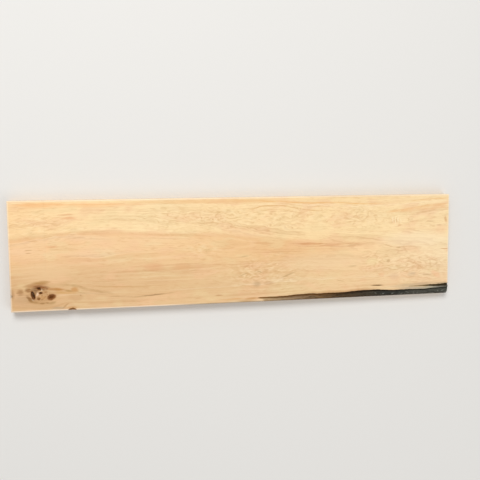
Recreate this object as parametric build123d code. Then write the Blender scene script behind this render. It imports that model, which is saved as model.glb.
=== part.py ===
from build123d import *
import os

# A thick sawn hardwood board, lying flat with its figured face up. Sizes are in millimetres.
# The origin is the middle of the underside: X runs along the board, Y across it and Z up.

# The sawn board
plank_length = 1900
plank_width = 450
plank_thickness = 50
arris_radius = 3            # every sawn arris is eased by about this much
worn_corner_radius = 8      # the corner at the end of the wane has crumbled rounder

# The wane: along half of the lower long side the log's own round surface was never sawn off.
# It starts as a crease in the face and deepens towards the right-hand end.
wane_length = 880           # from the crease's tip to the right-hand end
lip_depth = 2.5             # the broken lip of bark where the planed face stops
lip_run = 1.5
lip_share = 0.5             # where the wane is shallow, the lip is no deeper than this share of it
log_bulge = 2.5             # how far the log's round surface stands above a straight slope
bulge_share = 0.25          # where the wane is shallow, the bulge is no more than this share of it
# Each row is a place along the wane, as a share of its length from the tip,
# then the width lost from the face there and the depth lost from the side.
wane_rows = [
    (0.00, 18.5, 0.6),
    (0.10, 20.0, 2.0),
    (0.24, 25.0, 3.5),
    (0.40, 24.5, 5.0),
    (0.58, 31.0, 7.0),
    (0.73, 26.5, 8.5),
    (0.88, 26.5, 9.5),
    (1.00, 31.0, 10.5),
]

# The bark seam: an ingrown strip of bark that opens towards the right-hand end, above the wane
seam_length = 190
seam_tip_from_side = 39     # from the lower side up to the seam's thin tip
seam_mouth_from_side = 41   # from the lower side up to the middle of its open end
seam_tip_width = 1.5
seam_mouth_width = 12
seam_tip_depth = 0.8
seam_mouth_depth = 6

# The knot group: each pit is given by its distance from the left-hand end and from the lower side,
# its length, width and depth, and the turn of its length from the X axis in degrees.
loose_knot = (160, 57.5, 31, 22, 4.5, 25)
open_hole = (88.5, 66.5, 35, 15, 14, 106)
arch_hole = (112, 93.5, 17, 9, 8, -20)
round_pit = (118.5, 75.5, 12, 8.5, 5, 0)
small_pit = (110.5, 52.5, 9, 8, 3.5, 0)

# The ring shake: a curved slit that arches over the knot group
shake_from_left = 120
shake_from_side = 93.5      # from the lower side up to the line between its tips
shake_span = 44
shake_rise = 7.5            # outer arc above that line
shake_opening = 4           # widest gap between its two arcs
shake_depth = 5
shake_foot_share = 0.55     # how long and wide its foot is, as a share of the slit in the face

# The bark pocket: a bite out of the lower arris where the bark dipped into the wood
pocket_from_left = 240.5
pocket_length = 33
pocket_height = 9.5         # up the face from the lower side
pocket_depth = 9            # down the side from the face

clear_of_wood = 6           # how far each cutting shape stands out of the board

left_end = -plank_length / 2
right_end = plank_length / 2
lower_side = -plank_width / 2


# The squared board with its eased arrises and its one worn corner.
def sawn_board():
    board = Box(plank_length, plank_width, plank_thickness, align=(Align.CENTER, Align.CENTER, Align.MIN))
    uprights = board.edges().filter_by(Axis.Z)
    worn = uprights.filter_by(lambda edge: edge.center().X > 0 and edge.center().Y < 0)
    board = fillet(worn, worn_corner_radius)
    return fillet(board.edges(), arris_radius)


# A plane square to the board's length, in which sections are drawn across and up.
def plane_across(x):
    return Plane(origin=(x, 0, 0), x_dir=(0, 1, 0), z_dir=(1, 0, 0))


# One cross-section of what lies outside the log: down the lip, round the log, then out and up.
def wane_section(x, face_loss, side_loss):
    face = plank_thickness
    top_of_lip = (lower_side + face_loss, face)
    foot_of_lip = (top_of_lip[0] - lip_run, face - min(lip_depth, lip_share * side_loss))
    side = (lower_side, face - side_loss)
    slope = (side[1] - foot_of_lip[1]) / (side[0] - foot_of_lip[0])
    bulge = min(log_bulge, bulge_share * side_loss)
    outside = (side[0] - clear_of_wood, side[1] - slope * clear_of_wood - bulge)
    middle = ((foot_of_lip[0] + side[0]) / 2, (foot_of_lip[1] + side[1]) / 2 + bulge)
    sky = face + clear_of_wood
    with BuildSketch(plane_across(x)) as section:
        with BuildLine():
            Line((top_of_lip[0], sky), top_of_lip)
            Line(top_of_lip, foot_of_lip)
            Spline(foot_of_lip, middle, side, outside)
            Line(outside, (outside[0], sky))
            Line((outside[0], sky), (top_of_lip[0], sky))
        make_face()
    return section.sketch


# Everything outside the log's surface, lofted through the rows above and past the right-hand end.
def wane_cut():
    tip = right_end - wane_length
    rows = [(tip + share * wane_length, loss, drop) for share, loss, drop in wane_rows]
    last = rows[-1]
    rows.append((right_end + clear_of_wood, last[1], last[2]))
    return loft([wane_section(*row) for row in rows])


# The seam's wedge of rotten bark, from its tip in the face to its mouth in the end of the board.
def seam_cut():
    def wedge(x, from_side, width, depth):
        middle = lower_side + from_side
        half_width = width / 2 * (1 + clear_of_wood / depth)
        top = plank_thickness + clear_of_wood
        with BuildSketch(plane_across(x)) as section:
            with BuildLine():
                Polyline(
                    (middle - half_width, top),
                    (middle, plank_thickness - depth),
                    (middle + half_width, top),
                    close=True,
                )
            make_face()
        return section.sketch

    tip = wedge(right_end - seam_length, seam_tip_from_side, seam_tip_width, seam_tip_depth)
    mouth = wedge(right_end + clear_of_wood, seam_mouth_from_side, seam_mouth_width, seam_mouth_depth)
    return loft([tip, mouth])


# A round-bottomed hollow whose rim is an ellipse in the face.
def pit(from_left, from_side, length, width, depth, turn):
    bowl = scale(Sphere(1), by=(length / 2, width / 2, depth))
    place = Location((left_end + from_left, lower_side + from_side, plank_thickness), (0, 0, turn))
    return place * bowl


# The ring shake's slit: a crescent between two arcs that narrows with depth.
def shake_cut():
    def crescent(height, share):
        half_span = share * shake_span / 2
        inner_rise = shake_rise - share * shake_opening
        centre = (left_end + shake_from_left, lower_side + shake_from_side, height)
        with BuildSketch(Plane(origin=centre)) as section:
            with BuildLine():
                ThreePointArc((-half_span, 0), (0, shake_rise), (half_span, 0))
                ThreePointArc((half_span, 0), (0, inner_rise), (-half_span, 0))
            make_face()
        return section.sketch

    sky_share = 1 + (1 - shake_foot_share) * clear_of_wood / shake_depth
    sky = crescent(plank_thickness + clear_of_wood, sky_share)
    return loft([sky, crescent(plank_thickness - shake_depth, shake_foot_share)])


# The bite out of the lower arris.
def pocket_cut():
    bite = scale(Sphere(1), by=(pocket_length / 2, pocket_height, pocket_depth))
    return Location((left_end + pocket_from_left, lower_side, plank_thickness)) * bite


def plank():
    board = sawn_board()
    board -= wane_cut()
    board -= seam_cut()
    for hollow in (loose_knot, open_hole, arch_hole, round_pit, small_pit):
        board -= pit(*hollow)
    board -= shake_cut()
    board -= pocket_cut()
    return board.solid()


os.makedirs("parts", exist_ok=True)
export_step(plank(), "parts/plank.step")
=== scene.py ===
import math
import bpy
import numpy as np
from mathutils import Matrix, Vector


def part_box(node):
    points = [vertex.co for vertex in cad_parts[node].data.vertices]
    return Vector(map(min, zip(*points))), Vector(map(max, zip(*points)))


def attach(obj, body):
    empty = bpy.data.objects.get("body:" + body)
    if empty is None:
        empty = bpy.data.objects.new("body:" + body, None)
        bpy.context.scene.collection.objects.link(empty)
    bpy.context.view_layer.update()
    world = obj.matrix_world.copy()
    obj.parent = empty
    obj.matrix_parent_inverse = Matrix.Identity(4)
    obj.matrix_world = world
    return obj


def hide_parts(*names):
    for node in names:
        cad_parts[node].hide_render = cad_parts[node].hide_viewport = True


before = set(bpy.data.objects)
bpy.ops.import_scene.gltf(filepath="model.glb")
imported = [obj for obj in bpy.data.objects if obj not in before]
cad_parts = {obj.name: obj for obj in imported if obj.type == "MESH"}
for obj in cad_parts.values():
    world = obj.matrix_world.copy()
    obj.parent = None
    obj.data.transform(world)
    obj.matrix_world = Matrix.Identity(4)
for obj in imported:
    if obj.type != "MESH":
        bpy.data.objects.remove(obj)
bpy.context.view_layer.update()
print("frame loaded")

mm = 0.001
plankLow, plankHigh = (np.array(corner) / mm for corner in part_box("plank"))
plankLength, plankWidth, plankThickness = plankHigh - plankLow


# Small tools

noiseSize = 256  # softNoise repeats after this many whole numbers
rulerPoints = 8000  # how finely spacedPlaces counts its steps
nodesPerRow, nodeSpacing = 24, (220, 260)

timberMaterial = bpy.data.materials.new("planedFiguredHardwood")
timberMaterial.use_nodes = True
timberTree = timberMaterial.node_tree


def linearColour(hexText):
    # sRGB to linear: each channel over 0.04045 is ((c + 0.055) / 1.055) to the power 2.4
    channels = [int(hexText[place:place + 2], 16) / 255 for place in (1, 3, 5)]
    return [c / 12.92 if c <= 0.04045 else ((c + 0.055) / 1.055) ** 2.4 for c in channels] + [1.0]


def addNode(kind, inputs=(), settings=None, output=0):
    # Makes one node in the timber's tree. Inputs come in the order of its sockets, or by number or name. A
    # socket is linked, and any other value is set on the input itself. The node's output of that number or
    # name comes back, or the node where output is None.
    node = timberTree.nodes.new("ShaderNode" + kind)
    for name, value in (settings or {}).items():
        setattr(node, name, value)
    for name, value in inputs.items() if isinstance(inputs, dict) else enumerate(inputs):
        if isinstance(value, bpy.types.NodeSocket):
            timberTree.links.new(value, node.inputs[name])
        else:
            node.inputs[name].default_value = value
    row, column = divmod(len(timberTree.nodes), nodesPerRow)
    node.location = (nodeSpacing[0] * column, -nodeSpacing[1] * row)
    return node if output is None else node.outputs[output]


def addObject(name, data):
    # Puts a mesh, lamp or camera into the scene
    thing = bpy.data.objects.new(name, data)
    bpy.context.scene.collection.objects.link(thing)
    return thing


def smoothStep(value):
    # 3 t squared minus 2 t cubed, with t held between 0 and 1
    t = np.clip(value, 0, 1)
    return t * t * (3 - 2 * t)


def softNoise(across, along, seed):
    # Random heights at whole numbers, joined by smooth steps both ways. The result runs from -1 to 1.
    heights = np.random.default_rng(seed).uniform(-1, 1, (noiseSize, noiseSize))
    column, row = np.floor(across).astype(int), np.floor(along).astype(int)
    u, v = smoothStep(across - column), smoothStep(along - row)
    left, right, near, far = (number % noiseSize for number in (column, column + 1, row, row + 1))
    nearRow = heights[left, near] * (1 - u) + heights[right, near] * u
    farRow = heights[left, far] * (1 - u) + heights[right, far] * u
    return nearRow * (1 - v) + farRow * v


def spacedPlaces(start, end, coarseStep, fineStretches, count=None):
    # Places from start to end. The gap between neighbours grows by a fifth of the way from each fine stretch.
    ruler = np.linspace(start, end, rulerPoints)
    step = np.full_like(ruler, coarseStep)
    for stretchStart, stretchEnd, fineStep in fineStretches:
        away = np.maximum(np.maximum(stretchStart - ruler, ruler - stretchEnd), 0)
        step = np.minimum(step, fineStep + 0.2 * away)
    counted = np.concatenate([[0], np.cumsum(np.diff(ruler) / step[1:])])
    return np.interp(np.linspace(0, counted[-1], count or round(counted[-1]) + 1), counted, ruler)


# The plank's shape, in millimetres until the mesh is made

plankShape = {
    "arrisRadius": 3.0,
    "wornCornerRadius": 8.0,
    "waneLength": 880.0,
    "lipDepth": 2.5,
    "lipRun": 1.5,
    "lipShare": 0.5,  # where the wane is shallow, the lip is no deeper than this share of it
    "logBulge": 2.5,
    "bulgeShare": 0.25,  # and the bulge is no more than this share of it
    # place along the wane from its tip as a share, width lost from the face, depth lost from the side
    "waneRows": [(0.0, 18.5, 0.6), (0.10, 20.0, 2.0), (0.24, 25.0, 3.5), (0.40, 24.5, 5.0),
                 (0.58, 31.0, 7.0), (0.73, 26.5, 8.5), (0.88, 26.5, 9.5), (1.0, 31.0, 10.5)],
    "seamLength": 190.0,
    "seamTip": (39.0, 1.5, 0.8),  # up from the lower side, width, depth
    "seamMouth": (41.0, 12.0, 6.0),
    # from the left end, up from the lower side, length, width, depth, turn in degrees: the loose knot, the
    # open hole, the hole below the shake, the round pit and the small one
    "pits": [(160, 57.5, 31, 22, 4.5, 25), (88.5, 66.5, 35, 15, 14, 106), (112, 93.5, 17, 9, 8, -20),
             (118.5, 75.5, 12, 8.5, 5, 0), (110.5, 52.5, 9, 8, 3.5, 0)],
    "shake": {"fromLeft": 120, "fromSide": 93.5, "span": 44, "rise": 7.5, "opening": 4, "depth": 5},
    "pocket": (240.5, 0, 33, 19, 9, 0),  # the bite out of the lower arris, in the same order
    "crackDepth": 1.5,  # the long cracks between the plates of bark
    "layerDepth": 1.1,  # the steps where its layers have flaked off
    "fibreDepth": 0.45,  # short cracks and raised fibres
}
plainStep, plainRowStep = 14, 16  # distance between the mesh's points along and across, on plain wood
waneStep, pocketStep = 3.1, 1.6  # the same by the wane and by the bite in the lower arris
arrisStep = 1.3  # and next to the arrises
knotStep = 0.85  # and round the knots
snapReach = 0.38 * knotStep  # a point this near to a rim goes onto it; from further, faces fold over
farOutside = -20.0  # what every mask says on the sides, the underside and the ends
plainEnd = 12  # no point is moved onto a rim this near to an end
sharpEdge = 42  # edges that turn by more degrees than this are drawn sharp


def throughRows(x, column):
    # A smooth line through the wane's rows: a cubic between each two, level with the slope of its neighbours
    rows = np.array(plankShape["waneRows"])
    places, values = rows[:, 0], rows[:, column]
    share = np.clip(1 - (plankHigh[0] - x) / plankShape["waneLength"], 0, 1)
    slopes = np.gradient(values, places)
    index = np.clip(np.searchsorted(places, share, side="right") - 1, 0, len(places) - 2)
    gap = places[index + 1] - places[index]
    t = (share - places[index]) / gap
    return ((2 * t**3 - 3 * t**2 + 1) * values[index] + (t**3 - 2 * t**2 + t) * gap * slopes[index]
            + (3 * t**2 - 2 * t**3) * values[index + 1] + (t**3 - t**2) * gap * slopes[index + 1])


def lipLine(x):
    # How much width the wane takes from the face, with a ragged edge
    return throughRows(x, 1) + 1.0 * softNoise(x / 38, 0 * x, 3) + 0.5 * softNoise(x / 9, 0 * x, 4)


def barkRelief(x, inside):
    # Long cracks where a stretched noise crosses zero, short ones between them, layers that end in steps, and
    # fibres. Each noise is divided by the length and the width of its swells in mm.
    bend = inside + 2.5 * softNoise(x / 60, inside / 16, 5)
    cracks = np.clip(1 - np.abs(softNoise(x / 120 + 7, bend / 4.6, 6)) / 0.22, 0, 1)
    cracks = cracks * smoothStep(0.75 + 1.6 * softNoise(x / 36, bend / 9, 9))
    short = np.clip(1 - np.abs(softNoise(x / 30, bend / 2.3, 10)) / 0.3, 0, 1)
    short = short * smoothStep(0.3 + 1.5 * softNoise(x / 15, bend / 5, 12))
    layers = 2.2 * softNoise(x / 33, bend / 8, 7)
    steps = (np.floor(layers) + smoothStep(5 * (layers % 1)) + 3) / 6
    fibres = 0.5 + 0.5 * softNoise(x / 11, bend / 1.5, 8)
    relief = (plankShape["crackDepth"] * cracks**1.5 + plankShape["layerDepth"] * steps
              + plankShape["fibreDepth"] * (fibres + short))
    return relief, np.maximum(cracks, np.maximum(0.6 * short, 0.5 * (1 - fibres)))


def waneField(x, y):
    # How far each point lies past the lip, how deep the log's round surface is there, and the bark's relief
    up = y - plankLow[1]
    tip = plankHigh[0] - plankShape["waneLength"]
    started = smoothStep((x - tip) / 12)
    loss, drop = lipLine(x), throughRows(x, 2)
    lip = np.minimum(plankShape["lipDepth"], plankShape["lipShare"] * drop)
    inside = loss - up
    down = np.clip((inside - plankShape["lipRun"]) / (loss - plankShape["lipRun"]), 0, 1)
    bulge = np.minimum(plankShape["logBulge"], plankShape["bulgeShare"] * drop)
    slope = lip + (drop - lip) * down - 4 * bulge * down * (1 - down)
    depth = np.where(inside > 0, lip * np.clip(inside / plankShape["lipRun"], 0, 1) + (slope - lip), 0)
    relief, crack = barkRelief(x, inside)
    rough = smoothStep((drop - 0.5) / 6) * smoothStep((inside - 1.5) / 4)
    shown = smoothStep((x - tip + 14) / 12)
    return inside * shown - 12 * (1 - shown), (depth + rough * relief) * started, crack


def seamLine(x):
    # The seam's middle, half width and depth, each in a straight run from tip to mouth, with ragged edges
    share = np.clip(1 - (plankHigh[0] - x) / plankShape["seamLength"], 0, 1)
    tip, mouth = plankShape["seamTip"], plankShape["seamMouth"]
    middle, width, depth = (tip[i] + (mouth[i] - tip[i]) * share for i in range(3))
    middle = middle + 1.2 * share * softNoise(x / 21, 0 * x, 11)
    return plankLow[1] + middle, width / 2 * (1 + 0.15 * softNoise(x / 8, 0 * x, 12)), depth


def seamField(x, y):
    # A wedge-shaped groove: 0 outside its edges and its full depth on its middle line
    middle, half, depth = seamLine(x)
    inside = np.where(x > plankHigh[0] - plankShape["seamLength"], half - np.abs(y - middle), -9)
    return inside, depth * np.clip(inside / half, 0, 1)**0.7


def pitPlace(x, y, pit):
    # Distance from the pit's middle, which is 1 on its rim: a turned ellipse with a slightly uneven outline
    fromLeft, fromSide, length, width, depth, turn = pit
    dx, dy = x - plankLow[0] - fromLeft, y - plankLow[1] - fromSide
    cos, sin = math.cos(math.radians(turn)), math.sin(math.radians(turn))
    distance = np.hypot((dx * cos + dy * sin) / (length / 2), (dy * cos - dx * sin) / (width / 2))
    spoke = np.maximum(np.hypot(dx, dy), 0.01)
    outline = 1 + 0.11 * softNoise(fromLeft + 1.6 * dx / spoke, fromSide + 1.6 * dy / spoke, 21)
    return dx, dy, np.maximum(distance * outline, 0.01)


def pitField(x, y, pit):
    # Half an egg: the square root of 1 minus the squared distance, with an uneven floor
    distance = pitPlace(x, y, pit)[2]
    uneven = 1 + 0.14 * softNoise(x / 2.6, y / 2.6, 23) * smoothStep(3 * (1 - distance))
    return 1 - distance, pit[4] * np.clip(1 - distance**2, 0, 1)**0.42 * uneven


def shakeArcs(x):
    # Two parabolas through the same tips
    shake = plankShape["shake"]
    arch = 1 - ((x - plankLow[0] - shake["fromLeft"]) / (shake["span"] / 2))**2
    foot = plankLow[1] + shake["fromSide"] + 0.5 * softNoise(x / 5, 0 * x, 22)
    return foot + (shake["rise"] - shake["opening"]) * arch, foot + shake["rise"] * arch, arch > 0


def shakeField(x, y):
    # A slit between the arcs: the share of the way to its middle, to the power 0.6, times its depth
    inner, outer, within = shakeArcs(x)
    inside = np.where(within, np.minimum(outer - y, y - inner), -9)
    halfOpening = plankShape["shake"]["opening"] / 2
    return inside, plankShape["shake"]["depth"] * np.clip(inside / halfOpening, 0, 1)**0.6


def snapToRims(x, y):
    # A point near a rim goes onto it, along the line from the hollow's middle. One by the shake goes straight
    # up or down: onto an arc where the two are far enough apart, and onto the slit's middle by its tips.
    moved = np.zeros(x.shape, bool)
    for pit in plankShape["pits"] + [plankShape["pocket"]]:
        dx, dy, distance = pitPlace(x, y, pit)
        near = np.abs(1 - 1 / distance) * np.hypot(dx, dy) < snapReach
        x = np.where(near, x + dx * (1 / distance - 1), x)
        y = np.where(near, y + dy * (1 / distance - 1), y)
        moved = moved | near
    inner, outer, within = shakeArcs(x)
    apart = outer - inner > knotStep
    for line, there in ((inner, apart), (outer, apart), ((inner + outer) / 2, within & ~apart)):
        y = np.where(there & ~moved & (np.abs(line - y) < 0.5 * knotStep), line, y)
    return x, y


def carvedDepth(x, y):
    # Everything that is missing from the squared board, seen from above
    waneInside, depth, crack = waneField(x, y)
    seamInside, seamDepth = seamField(x, y)
    shakeInside, pitDepth = shakeField(x, y)
    pitInside = np.full_like(x, -9.0)
    for pit in plankShape["pits"]:
        inside, hollow = pitField(x, y, pit)
        pitInside, pitDepth = np.maximum(pitInside, inside), np.maximum(pitDepth, hollow)
    biteInside, biteDepth = pitField(x, y, plankShape["pocket"])
    total = np.maximum.reduce([depth, seamDepth, pitDepth, biteDepth])
    return total, {"wane": waneInside, "seam": seamInside, "pit": pitInside, "shake": shakeInside,
                   "bite": biteInside, "crack": crack}


def endRound(x, radius):
    # How far a quarter round of this radius draws the section in, this near to an end
    near = np.clip(radius - (plankLength / 2 - np.abs(x)), 0, radius)
    return radius - np.sqrt(radius**2 - near**2)


def topRows(x, start, end):
    # Right of the middle the rows follow the lip and the seam. On the left they crowd round the knots.
    lip = plankLow[1] + lipLine(x)
    middle, half, _ = seamLine(x)
    half = half + 5 * smoothStep((plankHigh[0] - plankShape["seamLength"] - x) / 200)
    posts = np.stack([start, lip - plankShape["lipRun"], lip, middle - half, middle, middle + half,
                      np.full_like(x, -165), end], 1)
    steps = np.array([36, 4, 8, 6, 6, 6, 54])
    numbers = np.concatenate([[0], np.cumsum(steps)])
    row = np.arange(numbers[-1] + 1)
    post = np.clip(np.searchsorted(numbers, row, side="right") - 1, 0, len(steps) - 1)
    share = (row - numbers[post]) / steps[post]
    right = posts[:, post] + share * (posts[:, post + 1] - posts[:, post])
    fineShares = [(0, 0.02, arrisStep / plankWidth), (0.095, 0.235, knotStep / plankWidth)]
    left = spacedPlaces(0, 1, plainRowStep / plankWidth, fineShares, len(row))
    left = start[:, None] + left * (end - start)[:, None]
    toRight = smoothStep((x + 640) / 540)[:, None]
    return left * (1 - toRight) + right * toRight


def plankSurface():
    # A rounded rectangle is carried along the plank, and the carving lowers its upper side.
    radius, halfLength, halfWidth = plankShape["arrisRadius"], plankLength / 2, plankWidth / 2
    turn = np.radians([0, 22.5, 45, 67.5])
    rounding, upright = radius * (1 - np.sin(turn)), radius * (1 - np.cos(turn))
    endArc = halfLength - radius * (1 - np.sin(np.radians([90, 67.5, 45, 22.5])))
    fineStretches = [(-876, -772, knotStep), (-730, -690, pocketStep), (64, halfLength, waneStep)]
    between = spacedPlaces(-halfLength + radius, halfLength - radius, plainStep, fineStretches)
    x = np.concatenate([-endArc, between, endArc[::-1]])
    inset = endRound(x, radius)
    worn = np.where(x > 0, endRound(x, plankShape["wornCornerRadius"]), inset)
    low, high = -halfWidth + np.maximum(inset, worn), halfWidth - inset
    rows = topRows(x, low + radius, high - radius)
    lift = np.array([0, 0.2, 0.4, 0.6, 0.8, 0.93])
    lowSide, highSide, floorShare = np.zeros(len(lift)), np.zeros(4), np.linspace(0, 1, 9)[:-1]
    y = np.concatenate([low[:, None] + rounding, low[:, None] + lowSide, low[:, None] + upright, rows,
                        high[:, None] - rounding[1:], high[:, None] + highSide, high[:, None] - upright[1:],
                        (high - radius)[:, None] - floorShare * (high - low - 2 * radius)[:, None]], 1)
    inner = plankThickness - 2 * radius
    z = np.concatenate([upright, radius + lift * inner, plankThickness - rounding,
                        np.full(rows.shape[1], plankThickness), plankThickness - upright[1:],
                        np.linspace(plankThickness - radius, radius, len(highSide)), rounding[1:],
                        np.zeros(len(floorShare))])
    foot = len(upright)
    firstTop = foot + len(lift)
    place = np.arange(len(z))
    onTop = (place >= firstTop) & (place < firstTop + len(rounding) + rows.shape[1])
    x2 = np.repeat(x[:, None], len(z), 1)
    snappedX, snappedY = snapToRims(x2, y)
    movable = onTop & (np.abs(x2) < halfLength - plainEnd)
    x2, y2 = np.where(movable, snappedX, x2), np.where(movable, snappedY, y)
    depth, masks = carvedDepth(x2, y2)
    z2 = inset[:, None] + z * (plankThickness - 2 * inset[:, None]) / plankThickness
    z2 = np.where(onTop, np.minimum(z2, plankThickness - inset[:, None] - depth), z2)
    sideFoot, sideTop = z2[:, foot][:, None], z2[:, firstTop][:, None]
    z2[:, foot:firstTop] = sideFoot + lift * (sideTop - sideFoot)
    masks = {name: np.where(onTop, values, farOutside) for name, values in masks.items()}
    return x2, y2, z2, masks


def buildPlank():
    # Each square of the surface is split along the diagonal whose ends differ less in height, which keeps the
    # rims clean. The masks are kept per corner.
    x2, y2, z2, masks = plankSurface()
    stations, around = x2.shape
    points = np.stack([x2, y2, z2], -1).reshape(-1, 3) * mm
    station, place = np.meshgrid(np.arange(stations - 1), np.arange(around), indexing="ij")
    following = (place + 1) % around
    a, b = (station * around + place).reshape(-1), (station * around + following).reshape(-1)
    c, d = b + around, a + around
    height = points[:, 2]
    alike = (np.abs(height[a] - height[c]) <= np.abs(height[b] - height[d]))[:, None, None]
    triangles = np.where(alike, np.stack([np.stack([a, c, b], -1), np.stack([a, d, c], -1)], 1),
                         np.stack([np.stack([a, d, b], -1), np.stack([b, d, c], -1)], 1)).reshape(-1, 3)
    mesh = bpy.data.meshes.new("plankBoard")
    leftCap = np.arange(around).tolist()
    rightCap = (np.arange(around)[::-1] + (stations - 1) * around).tolist()
    mesh.from_pydata(points.tolist(), [], triangles.tolist() + [leftCap, rightCap])
    for name, values in masks.items():
        attribute = mesh.attributes.new(name, "FLOAT", "CORNER")
        corners = np.concatenate([values.reshape(-1)[triangles.reshape(-1)], np.full(2 * around, farOutside)])
        attribute.data.foreach_set("value", corners.astype(np.float32))
    mesh.shade_smooth()
    mesh.set_sharp_from_angle(angle=math.radians(sharpEdge))
    for cap in (-1, -2):
        mesh.polygons[cap].use_smooth = False
    print("plank surface:", stations, "stations of", around, "points,", len(triangles), "triangles")
    return addObject("plankBoard", mesh)


plankBoard = buildPlank()
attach(plankBoard, "root")
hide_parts("plank")

# The timber's own colours and pattern, in millimetres

# Pale figured hardwood, planed and left bare: close rings with thin darker late wood, a silky surface without
# varnish, and on the wane dark weathered bark over brown inner bark.
timber = {
    "pith": (0, 25, -190),  # the log's centre line runs along the plank, below it
    "taper": 0.012,  # how fast the rings close in towards the right end
    "ringWidth": 3.4,
    "toneWidth": 13,  # and the widths over which the rings' tone and spacing change
    "unevenWidth": 17,
    # colour along the plank from the left end to the right one, as a place in mm and a hex value
    # the upper band is paler and the lower band darker partly in the wood and partly as painted light from
    # above
    "upperBand": [(-950, "#FFDAA4"), (-400, "#FFE3B0"), (-150, "#FDDDA9"), (400, "#FEDFAA"),
                  (950, "#FFE2B0")],
    "middleBand": [(-950, "#F6C995"), (-600, "#F6CC9A"), (-300, "#F6CE9A"), (0, "#F3C994"), (200, "#F0C48F"),
                   (400, "#F6CE9A"), (600, "#FFDCAA"), (950, "#FFE6BA")],
    "lowerBand": [(-950, "#DDB382"), (-600, "#E5BE8E"), (-300, "#E9C392"), (0, "#E9C594"), (250, "#ECCC9B"),
                  (450, "#F3D09F"), (950, "#F4D2A5")],
    # the soft border between the upper and the middle band: place along the plank, height across it
    "border": [(-950, 66), (-850, 72), (-750, 84), (-690, 93), (-600, 95), (-450, 88), (-300, 79), (-150, 72),
               (0, 55), (150, 44), (300, 34), (450, 29), (950, 27)],
    "levelHeight": 60,  # where the border would lie if it didn't arch
    "borderTint": "#DFA674", "ringTint": "#B97F4C", "fibreTint": "#C4925C", "paleTint": "#FFEBC8",
    # the flame and shade tints also paint the curly figure's sheen
    "dashTint": "#D09A66", "flameTint": "#FFE6BA", "shadeTint": "#C99B62", "pinkTint": "#F4C498",
    # the rim tint is the pale painted highlight along the eased arrises
    "yellowTint": "#F0D6A2", "arrisHighlightTint": "#FFF0DA",
    # where the grain parts round a knot: middle, reach along and across, how strongly
    "knots": [((-836, -155), (84, 46), 0.85), ((-709, -236), (62, 36), 0.75), ((810, -105), (60, 26), 0.6),
              ((652, -70), (30, 16), 0.5), ((130, -152), (60, 24), 0.4)],
    # where the grain is lifted or lowered: middle, reach along and across, lift
    "swells": [((135, 180), (120, 45), 14), ((960, 160), (230, 60), 20), ((-700, 160), (200, 60), -6),
               ((560, -60), (160, 60), -10), ((250, -110), (130, 40), 9)],
    # where the figure is curly: middle, length, width
    "curls": [((120, 142), (1150, 105)), ((130, -100), (430, 150)), ((760, -95), (420, 130)),
              ((-170, 5), (140, 70)), ((690, 118), (260, 70)), ((-800, 130), (260, 100))],
    # where the figure swirls in small loops: middle, reach along and across
    "swirls": [((830, -100), (120, 56)), ((592, -70), (66, 40)), ((545, 130), (90, 44)),
               ((-90, 146), (110, 40)), ((30, -104), (80, 40)), ((-310, 146), (66, 60))],
    # the end grain, the hollows' walls, the bite, the stain by the lip, and the painted shade along the lower
    # arris
    "endTint": "#B78A58", "wallTint": "#8A5426", "biteTint": "#9A6A3A", "stainTint": "#B07A42",
    "lowerArrisShadeTint": "#4E3620",
    "pitColours": [(-950, "#50351D"), (-803, "#50351D"), (-797, "#66380F"), (950, "#66380F")],
    "shakeColours": [(-950, "#8A5626"), (-836, "#8A5626"), (-826, "#C8925E"), (950, "#C8925E")],
    "stripColours": [(680, "#D2B38C"), (780, "#C2AE92"), (850, "#B3A78D"), (875, "#ABA28E"), (895, "#8A8376"),
                     (920, "#6E695E"), (950, "#57544B")],
    "seamColours": [(750, "#BCA47E"), (800, "#AF9670"), (830, "#937C55"), (865, "#4A3A1E"), (900, "#43361F"),
                    (950, "#33291A")],
    "barkColours": [(60, "#CFAA7C"), (160, "#B39672"), (250, "#95795A"), (350, "#80613F"), (450, "#58432C"),
                    (570, "#483E30"), (640, "#35342F"), (710, "#3B3B35"), (790, "#535047"), (950, "#4C4D45")],
    "lipColours": [(60, "#946630"), (130, "#74522A"), (230, "#623F1B"), (360, "#5E3C1A"), (450, "#392208"),
                   (550, "#221507"), (700, "#18130A"), (800, "#2A2719"), (950, "#2D2D25")],
    "barkGrainTint": "#241E17", "barkBlotchTint": "#2C2822", "barkSpeckTint": "#96958A",
    "barkCrackTint": "#17120C",
    # the swirling wood between the holes: middle, reach along and across
    "burl": [(-834, -156), (44, 34)],
    "burlTint": "#8E5B30",
    "fibreHeight": 0.05,  # bump, in mm
    "barkHeight": 1.4,
    "sawHeight": 0.3,
    "woodRoughness": 0.56,
    "barkRoughness": 0.9,
    "specularLevel": 0.18,  # bare wood shines less than a varnished face
    "markDepth": 60,  # how far above and below the face the marks reach, as their own height
}

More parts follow.
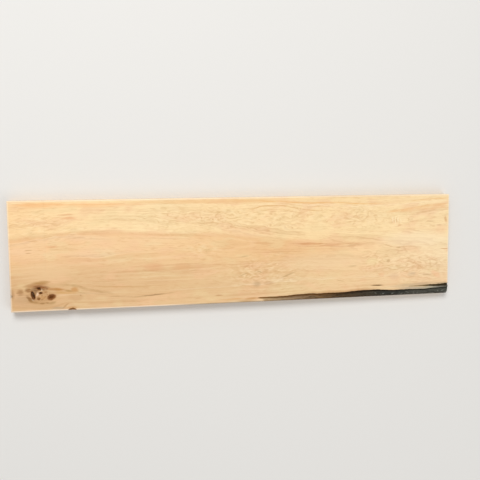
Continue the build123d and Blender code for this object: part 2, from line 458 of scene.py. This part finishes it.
# Thin lines drawn along the grain: points, width, colour, strength
timberLines = [
    ([(-765, -121), (-725, -121), (-690, -126), (-655, -139), (-615, -149), (-570, -157), (-530, -168)],
     16, "#B48A54", 0.55),
    ([(-700, -144), (-660, -157), (-610, -162), (-560, -167)], 10, "#BC9160", 0.4),
    ([(-575, -170), (-545, -175), (-500, -177), (-450, -180), (-390, -178), (-320, -172), (-270, -167)],
     7, "#B58A58", 0.45),
    ([(-640, -128), (-520, -136), (-400, -138), (-300, -131)], 6, "#CB9C66", 0.45),
    ([(10, 164), (60, 178), (110, 187), (160, 187), (220, 180), (300, 166), (380, 160)], 7, "#D6A264", 0.6),
    ([(30, 150), (90, 166), (150, 171), (220, 162), (280, 150)], 5, "#D9AA70", 0.45),
    ([(-100, 211), (50, 209), (180, 204), (300, 197), (420, 196), (540, 189), (660, 189)], 7, "#E9AE67", 0.6),
    ([(-120, 199), (40, 201), (200, 193), (330, 181), (460, 182)], 5, "#E3B277", 0.45),
    ([(640, 150), (720, 157), (800, 170), (870, 177), (950, 181)], 16, "#EBAE70", 0.45),
    ([(700, 146), (800, 160), (880, 166), (950, 168)], 20, "#F0B880", 0.4),
    ([(760, 196), (840, 203), (950, 207)], 7, "#E9B678", 0.5),
    ([(-945, 208), (-800, 209), (-650, 205), (-500, 205), (-350, 197)], 7, "#EDB47C", 0.6),
    ([(-945, 190), (-820, 193), (-660, 196), (-560, 190)], 5, "#F0BE85", 0.5),
    ([(-150, 10), (0, 6), (150, -4), (320, -4), (480, -10)], 6, "#D8A06C", 0.4),
    ([(180, 21), (300, 22), (420, 15), (560, 19)], 7, "#C98B59", 0.5),
    ([(220, 5), (330, 8), (450, 3), (560, 5)], 5, "#CF9563", 0.45),
    ([(-500, -52), (-380, -56), (-260, -50), (-120, -58), (20, -60)], 7, "#D39F6F", 0.4),
    ([(-560, -78), (-420, -74), (-300, -80), (-160, -76)], 6, "#CD9A68", 0.4),
    ([(625, 10), (660, 17), (710, 20), (770, 16), (815, 3)], 7, "#DDAA78", 0.5),
    ([(625, 10), (655, 2), (690, -6), (750, -6), (830, -9)], 7, "#D2A068", 0.55),
    ([(745, -68), (790, -82), (815, -98), (830, -122)], 7, "#D7AC7C", 0.5),
    ([(850, -66), (890, -72), (925, -92)], 7, "#DDB083", 0.5),
    ([(575, -56), (610, -66), (650, -84), (690, -96)], 7, "#D3AA72", 0.45),
]

# Marks on the face: middle along and across, length, width, turn in degrees, colour, strength
timberMarks = [
    (-722, 166, 86, 8, 1, "#DDA172", 0.55), (-712, 152, 78, 15, 0, "#E8AC7C", 0.6),
    (-760, 156, 60, 8, 3, "#E3B07C", 0.4), (-782, 37, 70, 13, 0, "#E3A676", 0.5),
    (-872, 26, 40, 5, 0, "#BE8B58", 0.65), (-874, 14, 38, 5, 0, "#C2905E", 0.6),
    (-855, 62, 60, 7, 0, "#D7A36E", 0.45), (-905, 155, 30, 8, 10, "#D9AD74", 0.35),
    (-766, -137, 80, 17, -4, "#BC8242", 0.85), (-697, -141, 42, 32, 0, "#CB9152", 0.75),
    (-755, -150, 60, 20, -4, "#CE9E5C", 0.6), (-805, -132, 60, 13, -4, "#BE8856", 0.6),
    (-722, -145, 48, 12, -6, "#B98B4C", 0.7), (-674, -165, 12, 9, 0, "#B58C5C", 0.6),
    (-150, 211, 1050, 26, 0, "#EAB880", 0.5), (360, -62, 560, 110, 0, "#F2D4A8", 0.45),
    (-820, -62, 330, 120, 0, "#F1CE9F", 0.45), (-330, -152, 900, 60, 0, "#D8AD7B", 0.25),
    (790, 28, 460, 100, 0, "#FFE8C0", 0.5), (890, -134, 70, 34, -30, "#F4BE92", 0.55),
    (631, -128, 40, 30, 0, "#EDB98A", 0.45), (690, -138, 60, 40, 0, "#E5C29A", 0.5),
    (774, -130, 60, 34, 0, "#D9BE96", 0.5), (586, -68, 90, 50, 0, "#F6DFA8", 0.45),
    (-720, -153, 90, 12, -3, "#D09A55", 0.5), (-375, -176, 130, 9, 4, "#9A6E44", 0.6),
    (-500, -137, 240, 9, -2, "#CB9C62", 0.35), (-560, -110, 200, 12, 2, "#D2A674", 0.35),
    (-375, -60, 130, 46, 0, "#E0A678", 0.5), (-255, -62, 120, 36, 2, "#DEA775", 0.45),
    (-100, -190, 50, 8, 0, "#C08A5C", 0.6), (-190, -199, 40, 6, 0, "#D3A271", 0.5),
    (-40, -208, 150, 9, 1, "#D99E60", 0.55), (40, -209, 80, 13, 2, "#C48C50", 0.65),
    (150, -12, 300, 9, 0, "#D29B68", 0.4), (90, 28, 150, 12, -3, "#D7A06C", 0.45),
    (300, 18, 150, 14, 0, "#CF8D58", 0.5), (395, 10, 160, 11, 0, "#D69A69", 0.5),
    (500, 8, 110, 6, 0, "#B98656", 0.6), (10, -27, 62, 6, 6, "#B08A5C", 0.45),
    (76, -95, 50, 9, -18, "#BC9462", 0.55), (64, -148, 50, 36, 0, "#BF9C72", 0.6),
    (116, -146, 70, 26, 0, "#CFA478", 0.5), (204, -113, 90, 10, 20, "#BE9A68", 0.6),
    (8, -104, 60, 8, 20, "#BE9866", 0.5), (20, -88, 66, 9, 8, "#F4D6A6", 0.5),
    (495, -85, 60, 9, 0, "#C39F70", 0.5), (662, -67, 24, 22, 40, "#C69E6C", 0.6),
    (662, 2, 48, 5, -20, "#C59A68", 0.5), (709, -8, 30, 9, 0, "#B98B58", 0.55),
    (440, -149, 50, 5, -8, "#BD9564", 0.5), (612, -175, 78, 8, -1, "#7B5A32", 0.95),
    (933, 113, 18, 44, 12, "#CB935C", 0.5), (930, -21, 60, 5, 0, "#C68A4C", 0.65),
    (780, -128, 40, 10, 0, "#CDAA8A", 0.45), (845, -135, 60, 12, -8, "#C7A27A", 0.4),
    (860, 105, 60, 8, 0, "#C9A071", 0.4), (905, 88, 40, 10, 0, "#CFA277", 0.4),
    (682, 116, 5, 40, 6, "#FFF0CC", 0.6), (694, 114, 5, 44, 4, "#FFF0CC", 0.55),
    (706, 117, 5, 38, -3, "#FFF0CC", 0.6), (720, 112, 5, 36, 5, "#FFF0CC", 0.45),
    (688, 116, 4, 34, 5, "#D6A870", 0.4), (700, 115, 4, 36, 0, "#D6A870", 0.4),
    (-832, -153, 170, 116, 0, "#C99B69", 0.7), (-911, -145, 38, 38, 20, "#A87A4C", 0.75),
    (-905, -175, 120, 64, 0, "#C39D72", 0.55), (-850, -204, 220, 28, 0, "#CDA677", 0.5),
    (-830, 206, 280, 30, 0, "#F4B676", 0.55), (-610, 204, 380, 26, -1, "#F6BE82", 0.45),
    (-944, -152, 32, 62, 0, "#B58A60", 0.6), (-947, -159, 13, 15, 0, "#75562F", 0.85),
    (-880, -137, 40, 24, -10, "#94602F", 0.75), (-850, -118, 120, 26, 4, "#A9733F", 0.55),
    (-828, -107, 96, 18, 3, "#B08043", 0.65), (-834, -130, 66, 26, -6, "#7A4B22", 0.85),
    (-828, -125, 84, 17, -4, "#8A5530", 0.85), (-807, -133, 16, 12, 0, "#8E5C34", 0.7),
    (-814, -146, 22, 17, 0, "#AA7642", 0.55), (-851, -142, 28, 17, -35, "#86603F", 0.75),
    (-796, -136, 36, 14, 0, "#BE8650", 0.6), (-877, -131, 20, 9, 10, "#A5773F", 0.5),
    (-855, -138, 44, 34, 0, "#946C46", 0.65), (-858, -150, 36, 52, 14, "#937048", 0.5),
    (-831, -149, 24, 18, 0, "#8E5A30", 0.7), (-840, -172, 22, 18, 0, "#9A6A3C", 0.7),
    (-828, -161, 9, 8, 0, "#8A5A34", 0.6), (-790, -167, 52, 40, 25, "#B98450", 0.7),
    (-875, -173, 48, 20, -50, "#956838", 0.85), (-853, -187, 44, 11, -12, "#9C7242", 0.6),
    (-827, -192, 30, 12, 0, "#926436", 0.75), (-806, -191, 22, 10, 2, "#95693C", 0.6),
    (-788, -192, 46, 16, 12, "#B08A56", 0.6), (-840, -189, 120, 26, -4, "#BC915C", 0.5),
    # the two pale marks at the right rims of the open hole and of the hole below the shake are painted
    # highlights
    (-845, -155, 13, 26, -8, "#F3CFAB", 0.9), (-829, -137, 9, 22, -25, "#E5C6A0", 0.85),
    (-823, -168, 34, 30, 0, "#D9A466", 0.5), (-862, -176, 16, 10, 0, "#D8BE98", 0.7),
    (-709, -216, 54, 20, 0, "#CE9860", 0.5), (-736, -206, 44, 10, 38, "#B98A58", 0.6),
    (-690, -172, 90, 50, 0, "#C99668", 0.4), (-764, -214, 80, 14, 0, "#B89E7E", 0.6),
    (20, -219, 120, 14, 0, "#BE905C", 0.55), (800, -180, 340, 24, 2, "#BFA381", 0.6),
    (925, -176, 110, 10, 0, "#A58D6C", 0.6),
]

# Marks inside the hollows, where they aren't evenly dark
hollowMarks = [
    (-864, -149, 13, 30, 16, "#8C7156", 0.75), (-856, -158, 9, 26, 10, "#4E2E12", 0.8),
    (-857, -170, 12, 14, 0, "#2A180A", 0.9), (-868, -146, 9, 14, 16, "#5C3C1A", 0.7),
    (-840, -172, 13, 13, 0, "#B5854E", 1.0), (-832, -149, 11, 9, 0, "#4E300C", 0.6),
    (-786, -160, 22, 10, 25, "#8A5A36", 0.5), (-798, -171, 20, 9, 25, "#54300F", 0.6),
]

multiply, add, subtract, multiplyAdd, greater, absolute, zigzag = ({"operation": name} for name in (
    "MULTIPLY", "ADD", "SUBTRACT", "MULTIPLY_ADD", "MAXIMUM", "ABSOLUTE", "PINGPONG"))
smooth = {"interpolation_type": "SMOOTHSTEP"}
blend = {"data_type": "RGBA"}
oneWay = {"noise_dimensions": "1D"}

# Every MapRange below gets a value, where that starts and ends, and what comes out there if not 0 and 1.


def alongColours(along, stops):
    # A colour ramp whose places are millimetres from end to end of the plank
    share = addNode("MapRange", (along, plankLow[0], plankHigh[0]))
    ramp = addNode("ValToRGB", (share,), output=None)
    elements = ramp.color_ramp.elements
    for number, (place, hexText) in enumerate([stops[0], stops[-1]] + stops[1:-1]):
        position = np.clip((place - plankLow[0]) / plankLength, 0, 1)
        element = elements[number] if number < 2 else elements.new(position)
        element.position, element.color = position, linearColour(hexText)
    return ramp.outputs["Color"]


def heightAlong(along, points):
    # A smooth line through points of the face: how far along it is, as a share, and its height there
    xs, ys = zip(*points)
    low, high = min(ys) - 1, max(ys) + 1
    share = addNode("MapRange", (along, xs[0], xs[-1]))
    line = addNode("FloatCurve", {"Value": share}, output=None)
    curve = line.mapping.curves[0]
    curve.points[0].location = (0, (ys[0] - low) / (high - low))
    curve.points[-1].location = (1, (ys[-1] - low) / (high - low))
    for x, y in points[1:-1]:
        curve.points.new((x - xs[0]) / (xs[-1] - xs[0]), (y - low) / (high - low))
    line.mapping.update()
    return share, addNode("Math", (line.outputs[0], high - low, low), multiplyAdd)


def streaks(place, lengths, detail, roughness, output=0):
    # Noise from 0 to 1 with swells of these lengths in mm
    stretched = addNode("VectorMath", (place, [1 / length for length in lengths]), multiply)
    return addNode("TexNoise", {"Vector": stretched, "Scale": 1, "Detail": detail, "Roughness": roughness},
                   output=output)


def drifted(place, lengths, reach, detail):
    # A push of up to half of reach each way, by a noise whose swells have these lengths in mm
    noise = streaks(place, lengths, detail, 0.5, "Color")
    centred = addNode("VectorMath", (noise, (0.5, 0.5, 0.5)), subtract)
    return addNode("VectorMath", (centred, reach), multiply)


def bell(place, middle, reach):
    # e to the power of minus the squared distance, measured in the reach along and across
    away = addNode("VectorMath", (place, (*middle, 0)), subtract)
    scaled = addNode("VectorMath", (away, (1 / reach[0], 1 / reach[1], 0)), multiply)
    squared = addNode("VectorMath", (scaled, scaled), {"operation": "DOT_PRODUCT"}, "Value")
    return addNode("Math", (addNode("Math", (squared, -1), multiply),), {"operation": "EXPONENT"})


def levelLines(noise, count, start, end, strength):
    # Lines of equal height in a noise: 0 half-way between two lines and the strength on each
    between = addNode("Math", (addNode("Math", (noise, count), multiply), 0.5), zigzag)
    return addNode("MapRange", (between, start, end, 0, strength), smooth), between


def layered(colour, layers):
    # Lays one tint after another over the colour. A layer is its share, from 0 to 1, and its tint.
    for share, tint in layers:
        tint = linearColour(tint) if isinstance(tint, str) else tint
        colour = addNode("Mix", {0: share, 6: colour, 7: tint}, blend, 2)
    return colour


def grainFlow(place):
    # Where each point would lie if the grain ran straight. The shift across the plank is added up from the
    # border's arch, slow and quick wander, curls, knots that part the grain and swells that lift it.
    axes = addNode("SeparateXYZ", (place,), output=None)
    along, across = axes.outputs["X"], axes.outputs["Y"]
    curl = 0.0
    for middle, size in timber["curls"]:
        curl = addNode("Math", (bell(place, middle, (size[0] / 2, size[1] / 2)), curl), greater)
    moved = place
    curly = addNode("VectorMath", {0: drifted(place, (58, 19, 19), (0, 25, 25), 1.5), "Scale": curl},
                    {"operation": "SCALE"})
    slow, quick = drifted(place, (900, 150, 150), (0, 24, 24), 1), drifted(place, (170, 34, 34), (0, 8, 8), 2)
    for drift in (slow, quick, curly):
        moved = addNode("VectorMath", (moved, drift), add)
    border = heightAlong(along, timber["border"])[1]
    fromBorder = addNode("Math", (across, border), subtract)
    near = addNode("MapRange", (addNode("Math", (fromBorder,), absolute), 170, 10), smooth)
    arch = addNode("Math", (border, -1, timber["levelHeight"]), multiplyAdd)
    shift = addNode("Math", (arch, near), multiply)
    movedAcross = addNode("SeparateXYZ", (moved,), output="Y")
    for middle, reach, strength in timber["knots"]:
        offset = addNode("Math", (movedAcross, -strength, strength * middle[1]), multiplyAdd)
        shift = addNode("Math", (bell(moved, middle, reach), offset, shift), multiplyAdd)
    for middle, reach, lift in timber["swells"]:
        shift = addNode("Math", (bell(moved, middle, reach), -lift, shift), multiplyAdd)
    straight = addNode("VectorMath", (moved, addNode("CombineXYZ", {"Y": shift})), add)
    wander = addNode("Math", (movedAcross, across), subtract)
    below = addNode("Math", (fromBorder, -1, wander), multiplyAdd)
    return along, straight, below, curl


def ringPattern(along, straight):
    # The distance from the pith plus the taper gives a broad tone from ring to ring and each one's late wood
    fromPith = addNode("VectorMath", (straight, timber["pith"]), subtract)
    flat = addNode("VectorMath", (fromPith, (0, 1, 1)), multiply)
    radius = addNode("VectorMath", (flat,), {"operation": "LENGTH"}, "Value")
    radius = addNode("Math", (along, timber["taper"], radius), multiplyAdd)
    tone = addNode("TexNoise", {"W": radius, "Scale": 1 / timber["toneWidth"], "Detail": 3,
                                "Roughness": 0.62}, oneWay)
    uneven = addNode("TexNoise", {"W": radius, "Scale": 1 / timber["unevenWidth"], "Detail": 1}, oneWay)
    counted = addNode("Math", (radius, 1 / timber["ringWidth"]), multiply)
    counted = addNode("Math", (uneven, 3, counted), multiplyAdd)
    within, year = (addNode("Math", (counted,), {"operation": name}) for name in ("FRACT", "FLOOR"))
    late = addNode("TexWhiteNoise", {"W": year}, oneWay, "Value")
    rising = addNode("MapRange", (within, 0.4, 0.92), smooth)
    falling = addNode("MapRange", (within, 1, 0.94), smooth)
    return tone, addNode("Math", (addNode("Math", (rising, falling), multiply), late), multiply)


def groundColour(along, below):
    # Three bands of colour, joined softly, with a darker line on the border of the upper one
    # the paler upper band and the darker lower band are partly the wood's own tone and partly painted light
    # from above
    upper, middle, lower = (alongColours(along, timber[name]) for name in (
        "upperBand", "middleBand", "lowerBand"))
    away = addNode("Math", (below,), absolute)
    inMiddle, inLower, line, onLeft = (addNode("MapRange", run, smooth) for run in (
        (below, -12, 12), (below, 40, 210), (away, 15, 2, 0, 0.25), (along, 250, -150)))
    line = addNode("Math", (line, onLeft), multiply)
    return layered(upper, [(inMiddle, middle), (inLower, lower), (line, timber["borderTint"])])


def figureLayers(place, straight, tone, late, curl):
    # Rings, curly figure and fibres. Patches of the wood show them more strongly than others.
    patch = addNode("MapRange", (streaks(place, (230, 60, 60), 1, 0.5), 0.4, 0.62, 0.3, 1.15))
    darkRing, paleRing, lateWood = (addNode("Math", (share, patch), multiply) for share in (
        addNode("MapRange", (tone, 0.45, 0.75, 0, 0.22)), addNode("MapRange", (tone, 0.5, 0.25, 0, 0.32)),
        addNode("Math", (late, 0.26), multiply)))
    fibre = streaks(straight, (38, 1.1, 1.1), 3, 0.6)
    fibreShare = addNode("MapRange", (fibre, 0.48, 0.8, 0, 0.22))
    band = addNode("MapRange", (streaks(straight, (160, 5, 5), 2, 0.5), 0.5, 0.75, 0, 0.12))
    dashes = streaks(straight, (30, 3.2, 3.2), 1, 0.5)
    curls = streaks(straight, (30, 8.5, 8.5), 1, 0.5)
    cast = streaks(place, (120, 55, 55), 2, 0.55)  # broad patches, pinker or yellower than the ground
    # the curls' pale flame and dark shade ripples are the figure of the grain and also a painted sheen, the
    # shimmer of the curled fibres
    dash, flame, shade, pinker, yellower = (addNode("MapRange", run, smooth) for run in (
        (dashes, 0.56, 0.72, 0, 0.28), (curls, 0.48, 0.7, 0, 0.3), (curls, 0.47, 0.3, 0, 0.28),
        (cast, 0.5, 0.66, 0, 0.4), (cast, 0.48, 0.34, 0, 0.35)))
    flame, shade = (addNode("Math", (share, curl), multiply) for share in (flame, shade))
    # small loops in the swirled stretches: level lines of a noise, darker on the line and paler between
    swirled = 0.0
    for middle, reach in timber["swirls"]:
        swirled = addNode("Math", (bell(place, middle, reach), swirled), greater)
    onLoop, between = levelLines(streaks(straight, (66, 34, 34), 1.5, 0.45), 6.5, 0.26, 0.03, 0.36)
    offLoop = addNode("MapRange", (between, 0.28, 0.48, 0, 0.3), smooth)
    onLoop, offLoop = (addNode("Math", (share, swirled), multiply) for share in (onLoop, offLoop))
    layers = [(pinker, "pink"), (yellower, "yellow"), (onLoop, "shade"), (offLoop, "flame"),
              (darkRing, "ring"), (lateWood, "ring"), (paleRing, "pale"), (band, "ring"), (dash, "dash"),
              (flame, "flame"), (shade, "shade"), (fibreShare, "fibre")]
    return fibre, [(share, timber[tint + "Tint"]) for share, tint in layers]


def lineLayers(place, ragged):
    # Each line is 1 on its own height and 0 at half its width above or below, and fades out at its two ends
    axes = addNode("SeparateXYZ", (place,), output=None)
    layers = []
    for points, width, hexText, strength in timberLines:
        share, height = heightAlong(axes.outputs["X"], points)
        off = addNode("Math", (addNode("Math", (axes.outputs["Y"], height), subtract),), absolute)
        near = addNode("MapRange", (off, width / 2, width / 8, 0, strength), smooth)
        ends = addNode("Math", (share, 0.5), zigzag)
        for part in (addNode("MapRange", (ends, 0, 0.14), smooth), ragged):
            near = addNode("Math", (near, part), multiply)
        layers.append((near, hexText))
    return layers


def markLayers(place, ragged, marks):
    # Each mark is a soft lens: 1 minus the distance from its middle, measured in its own length and width
    layers = []
    for x, y, length, width, turn, hexText, strength in marks:
        reach = (length / 2, width / 2, timber["markDepth"] / 2)
        lens = addNode("Mapping", (place, (x, y, plankThickness), (0, 0, math.radians(turn)), reach),
                       {"vector_type": "TEXTURE"})
        glow = addNode("TexGradient", (lens,), {"gradient_type": "SPHERICAL"}, "Fac")
        glow = addNode("Math", (glow, ragged), multiply)
        layers.append((addNode("MapRange", (glow, 0, 0.65, 0, strength), smooth), hexText))
    return layers


def edgeLayers(place, along, across, upward, late, sawLines):
    # The planed edges carry a painted highlight, paler than the face and stronger on the lower arris, but
    # right of the middle the lower arris gets painted shade instead: no highlight and a dark line. The sawn
    # sides and the underside have faint saw marks across the grain. End grain takes up more grime: it is
    # darker, with the late wood of every ring plain to see.
    axes = addNode("SeparateXYZ", (addNode("VectorMath", (place,), absolute),), output=None)
    lengthwise, sideways = axes.outputs["X"], axes.outputs["Y"]
    # the pale rims along the ends and the long sides are a painted highlight on the eased arrises
    endArrisHighlight, rim, lowerSide, shaded, onFace, sawn, onEnd, lowerArrisShade = (addNode("MapRange", run, smooth) for run in (
        (lengthwise, 942.5, 947), (sideways, 217.5, 222), (across, -200, -219), (along, -340, -120),
        (upward, 38, 44), (upward, 47, 44), (lengthwise, 949.3, 949.8), (across, -218.5, -223.5)))
    # right of the middle the lower arris lies in shade and gets no painted highlight
    unshaded = addNode("Math", (1, addNode("Math", (lowerSide, shaded), multiply)), subtract)
    brighter = addNode("MapRange", (lowerSide, 0, 1, 1, 1.35))
    for part in (unshaded, brighter, onFace):
        rim = addNode("Math", (rim, part), multiply)
    rim = addNode("Math", (addNode("Math", (endArrisHighlight, rim), greater), 0.45), multiply)
    kerf = addNode("MapRange", (sawLines, 0.4, 0.7, 0.08, 0.32))
    for part in (sawn, streaks(place, (90, 140, 60), 1, 0.5)):
        kerf = addNode("Math", (kerf, part), multiply)
    endShare = addNode("Math", (addNode("Math", (late, 0.5, 0.3), multiplyAdd), onEnd), multiply)
    # a dark line of painted shade along the lower arris, right of the middle
    for part in (shaded, onFace, 0.45):
        lowerArrisShade = addNode("Math", (lowerArrisShade, part), multiply)
    layers = [(rim, timber["arrisHighlightTint"]), (kerf, timber["ringTint"]), (endShare, timber["endTint"])]
    return layers, (lowerArrisShade, timber["lowerArrisShadeTint"]), sawn


def hollowLayers(place, along, pit, shake, bite, ragged):
    # Brown walls that go dark inside
    onRim, inDark, onShake, inBite, within = (addNode("MapRange", run, smooth) for run in (
        (pit, -0.45, 0.12, 0, 0.9), (pit, 0.05, 0.75), (shake, -1.2, 0.8), (bite, -0.1, 0.2),
        (pit, 0, 0.3)))
    inHollow = addNode("Math", (ragged, within), multiply)
    return [(onRim, timber["wallTint"]), (onShake, alongColours(along, timber["shakeColours"])),
            (inDark, alongColours(along, timber["pitColours"])), (inBite, timber["biteTint"]),
            *markLayers(place, inHollow, hollowMarks)]


def barkColour(place, along, wane, crack):
    # Pale inner bark at the tip turns brown, then grey and weathered on the right. The broken lip above it is
    # darkest, cracks are darker than the plates between them, and pale specks lie along the lower side. The
    # tip is drawn out: further down the slope the bark begins further right.
    blotches, specks = streaks(place, (24, 6, 6), 2, 0.55), streaks(place, (17, 6, 6), 3, 0.6)
    aged, blotch, dark, speck, far, low, onWane, tipStart = (addNode("MapRange", run, smooth) for run in (
        (along, 120, 420, 0.25), (blotches, 0.5, 0.66, 0, 0.6), (crack, 0.3, 1, 0, 0.6),
        (specks, 0.54, 0.68, 0, 0.75), (along, 480, 700), (wane, 8, 17), (wane, -0.5, 0.3),
        (wane, 3, 13, 62, 86)))
    grain = addNode("MapRange", (streaks(place, (30, 2.4, 2.4), 4, 0.65), 0.42, 0.75, 0, 0.5))
    grain, blotch, dark = (addNode("Math", (share, aged), multiply) for share in (grain, blotch, dark))
    for part in (far, low):
        speck = addNode("Math", (speck, part), multiply)
    lipEnd = addNode("MapRange", (along, 70, 160, 7, 13))
    lipEnd = addNode("Math", (lipEnd, addNode("MapRange", (along, 560, 680, 0, 5))), subtract)
    lip = addNode("MapRange", (wane, lipEnd, 4), smooth)
    bark = layered(alongColours(along, timber["barkColours"]), [
        (grain, timber["barkGrainTint"]), (blotch, timber["barkBlotchTint"]),
        (speck, timber["barkSpeckTint"]), (dark, timber["barkCrackTint"]),
        (lip, alongColours(along, timber["lipColours"]))])
    tipFade = addNode("MapRange", (along, tipStart, addNode("Math", (tipStart, 16), add)), smooth)
    return bark, addNode("Math", (onWane, tipFade), multiply)


def waneLayers(place, along, wane, seam, crack):
    # Wood just above the bark is stained brown. Further right the thin strip between bark and seam is grey.
    nearLip, rise, fall, strip, onRight, onSeam = (addNode("MapRange", run, smooth) for run in (
        (wane, -14, -2), (along, 120, 420, 0, 0.55), (along, 660, 540), (wane, -12, -7), (along, 680, 760),
        (seam, -1.8, 0.3)))
    for part in (rise, fall):
        nearLip = addNode("Math", (nearLip, part), multiply)
    strip = addNode("Math", (strip, onRight), multiply)
    bark, onWane = barkColour(place, along, wane, crack)
    return onWane, [(nearLip, timber["stainTint"]), (strip, alongColours(along, timber["stripColours"])),
                    (onWane, bark), (onSeam, alongColours(along, timber["seamColours"]))]


def buildTimber():
    # Lays figure, marks, hollows and bark over the ground, then sets bump and roughness
    shader = timberTree.nodes["Principled BSDF"]
    place = addNode("TexCoord", output="Object")
    place = addNode("VectorMath", {0: place, "Scale": 1000}, {"operation": "SCALE"})
    pit, shake, bite, wane, seam, crack = (
        addNode("Attribute", settings={"attribute_name": name}, output="Fac")
        for name in ("pit", "shake", "bite", "wane", "seam", "crack"))
    along, straight, below, curl = grainFlow(place)
    tone, late = ringPattern(along, straight)
    fibre, figure = figureLayers(place, straight, tone, late, curl)

    # the listed lines and marks wander a little with the grain, and break up along the fibres
    markPlace = addNode("VectorMath", (place, drifted(place, (40, 12, 12), (10, 6, 0), 2)), add)
    ragged = addNode("MapRange", (streaks(straight, (50, 2.4, 2.4), 2, 0.6), 0.3, 0.7, 0.55, 1.25))
    broken = addNode("MapRange", (streaks(place, (45, 20, 20), 2, 0.6), 0.35, 0.6, 0.45, 1.1))
    broken = addNode("Math", (broken, ragged), multiply)

    # wood that swirls between the holes: level lines of a noise, drawn in brown
    swirl = levelLines(streaks(markPlace, (26, 19, 19), 2, 0.55), 11, 0.3, 0.04, 0.5)[0]
    zone = addNode("MapRange", (bell(place, *timber["burl"]), 0.2, 0.75), smooth)
    for part in (zone, broken):
        swirl = addNode("Math", (swirl, part), multiply)

    axes = addNode("SeparateXYZ", (place,), output=None)
    sawLines = streaks(place, (3.6, 500, 90), 2, 0.5)
    edges, lowerArrisShade, sawn = edgeLayers(place, along, axes.outputs["Y"], axes.outputs["Z"], late, sawLines)
    onWane, barkAndSeam = waneLayers(place, along, wane, seam, crack)
    # the edges bring the painted highlight on the arrises; the last layer is the painted shade along the
    # lower arris
    colour = layered(groundColour(along, below), [
        *figure, *lineLayers(markPlace, broken), *markLayers(markPlace, ragged, timberMarks),
        (swirl, timber["burlTint"]), *edges, *hollowLayers(place, along, pit, shake, bite, ragged),
        *barkAndSeam, lowerArrisShade])
    timberTree.links.new(colour, shader.inputs["Base Color"])

    # height in millimetres: fibres on the wood, roughness on bark and in hollows, saw marks off the face
    rough = onWane
    for run in ((pit, -0.1, 0.2), (shake, 0, 1)):
        rough = addNode("Math", (rough, addNode("MapRange", run, smooth)), greater)
    height = addNode("Math", (fibre, timber["fibreHeight"]), multiply)
    barkHeight = addNode("Math", (streaks(place, (9, 1.6, 1.6), 4, 0.65), rough), multiply)
    height = addNode("Math", (barkHeight, timber["barkHeight"], height), multiplyAdd)
    sawHeight = addNode("Math", (sawn, timber["sawHeight"]), multiply)
    height = addNode("Math", (sawLines, sawHeight, height), multiplyAdd)
    bump = addNode("Bump", {"Height": height, "Strength": 1, "Distance": mm})
    timberTree.links.new(bump, shader.inputs["Normal"])
    roughness = addNode("MapRange", (rough, 0, 1, timber["woodRoughness"], timber["barkRoughness"]))
    timberTree.links.new(roughness, shader.inputs["Roughness"])
    shader.inputs["Specular IOR Level"].default_value = timber["specularLevel"]


buildTimber()
plankBoard.data.materials.append(timberMaterial)
print("timber material ready")

# Floor, light and camera

studio = {"floorColour": "#E6E4E0", "floorRoughness": 0.9, "floorSize": 16, "worldStrength": 0.5}
studioLamps = {"keyLight": ((-1.6, 4.2, 6.0), 3, 305), "fillLight": ((3.0, -3.0, 5.0), 4, 66)}


def buildFloor():
    half = studio["floorSize"] / 2
    mesh = bpy.data.meshes.new("studioFloor")
    corners = [(-half, -half, 0), (half, -half, 0), (half, half, 0), (-half, half, 0)]
    mesh.from_pydata(corners, [], [(0, 1, 2, 3)])
    material = bpy.data.materials.new("paleFloor")
    material.use_nodes = True
    shader = material.node_tree.nodes["Principled BSDF"]
    shader.inputs["Base Color"].default_value = linearColour(studio["floorColour"])
    shader.inputs["Roughness"].default_value = studio["floorRoughness"]
    mesh.materials.append(material)
    floor = addObject("studioFloor", mesh)


def addLamp(name, place, size, power):
    # A square lamp that looks at the origin
    light = bpy.data.lights.new(name, "AREA")
    light.size = size
    light.energy = power
    lamp = addObject(name, light)
    lamp.location = place
    lamp.rotation_euler = (-Vector(place)).to_track_quat("-Z", "Y").to_euler()


buildFloor()
for lampName, placeSizePower in studioLamps.items():
    addLamp(lampName, *placeSizePower)

world = bpy.data.worlds.new("studioWorld")
world.use_nodes = True
background = world.node_tree.nodes["Background"].inputs
background["Color"].default_value = (1, 1, 1, 1)
background["Strength"].default_value = studio["worldStrength"]
bpy.context.scene.world = world

cameraView = {"place": (-0.5095, 0.3023, 2.7934), "turn": (-5.174, -10.426, -0.649), "lens": 49.4}
camera = addObject("camera", bpy.data.cameras.new("camera"))
camera.location = cameraView["place"]
camera.rotation_euler = [math.radians(angle) for angle in cameraView["turn"]]
camera.data.lens = cameraView["lens"]
bpy.context.scene.camera = camera
bpy.context.scene.view_settings.view_transform = "Standard"

print("scene ready")
